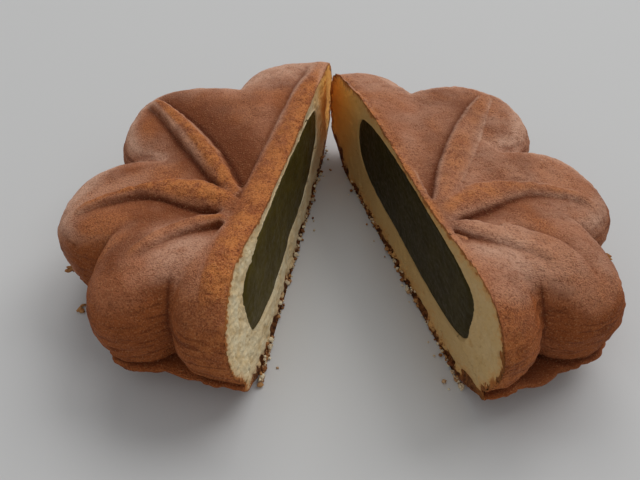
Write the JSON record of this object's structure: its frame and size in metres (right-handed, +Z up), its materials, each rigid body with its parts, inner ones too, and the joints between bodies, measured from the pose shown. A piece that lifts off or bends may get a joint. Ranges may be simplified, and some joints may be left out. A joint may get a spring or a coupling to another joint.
{
  "type": "maple leaf bean paste cake",
  "caption": "Maple-leaf sponge cake filled with green bean paste, cut along its length and opened in a V so that both cut faces show; rests on its flat underside.",
  "frame": {"origin": "middle of the bounding box, at the height of the flat undersides", "axes": "+Z up; +X from the left half to the right half; +Y towards the touching leaf tips, so that the V opens towards -Y"},
  "size_m": [0.0848, 0.07, 0.0221],
  "materials": {
    "crust_left": "soft sponge cake with a matt cinnamon-brown baked skin and a cream-yellow crumb",
    "crust_right": "soft sponge cake with a matt cinnamon-brown baked skin and a cream-yellow crumb",
    "paste_left": "dense smooth olive-green bean paste, faintly moist",
    "paste_right": "dense smooth olive-green bean paste, faintly moist"
  },
  "bodies": {
    "root": {"cake_left": "crust_left", "cake_right": "crust_right", "paste_left": "paste_left", "paste_right": "paste_right"}
  },
  "joints": []
}
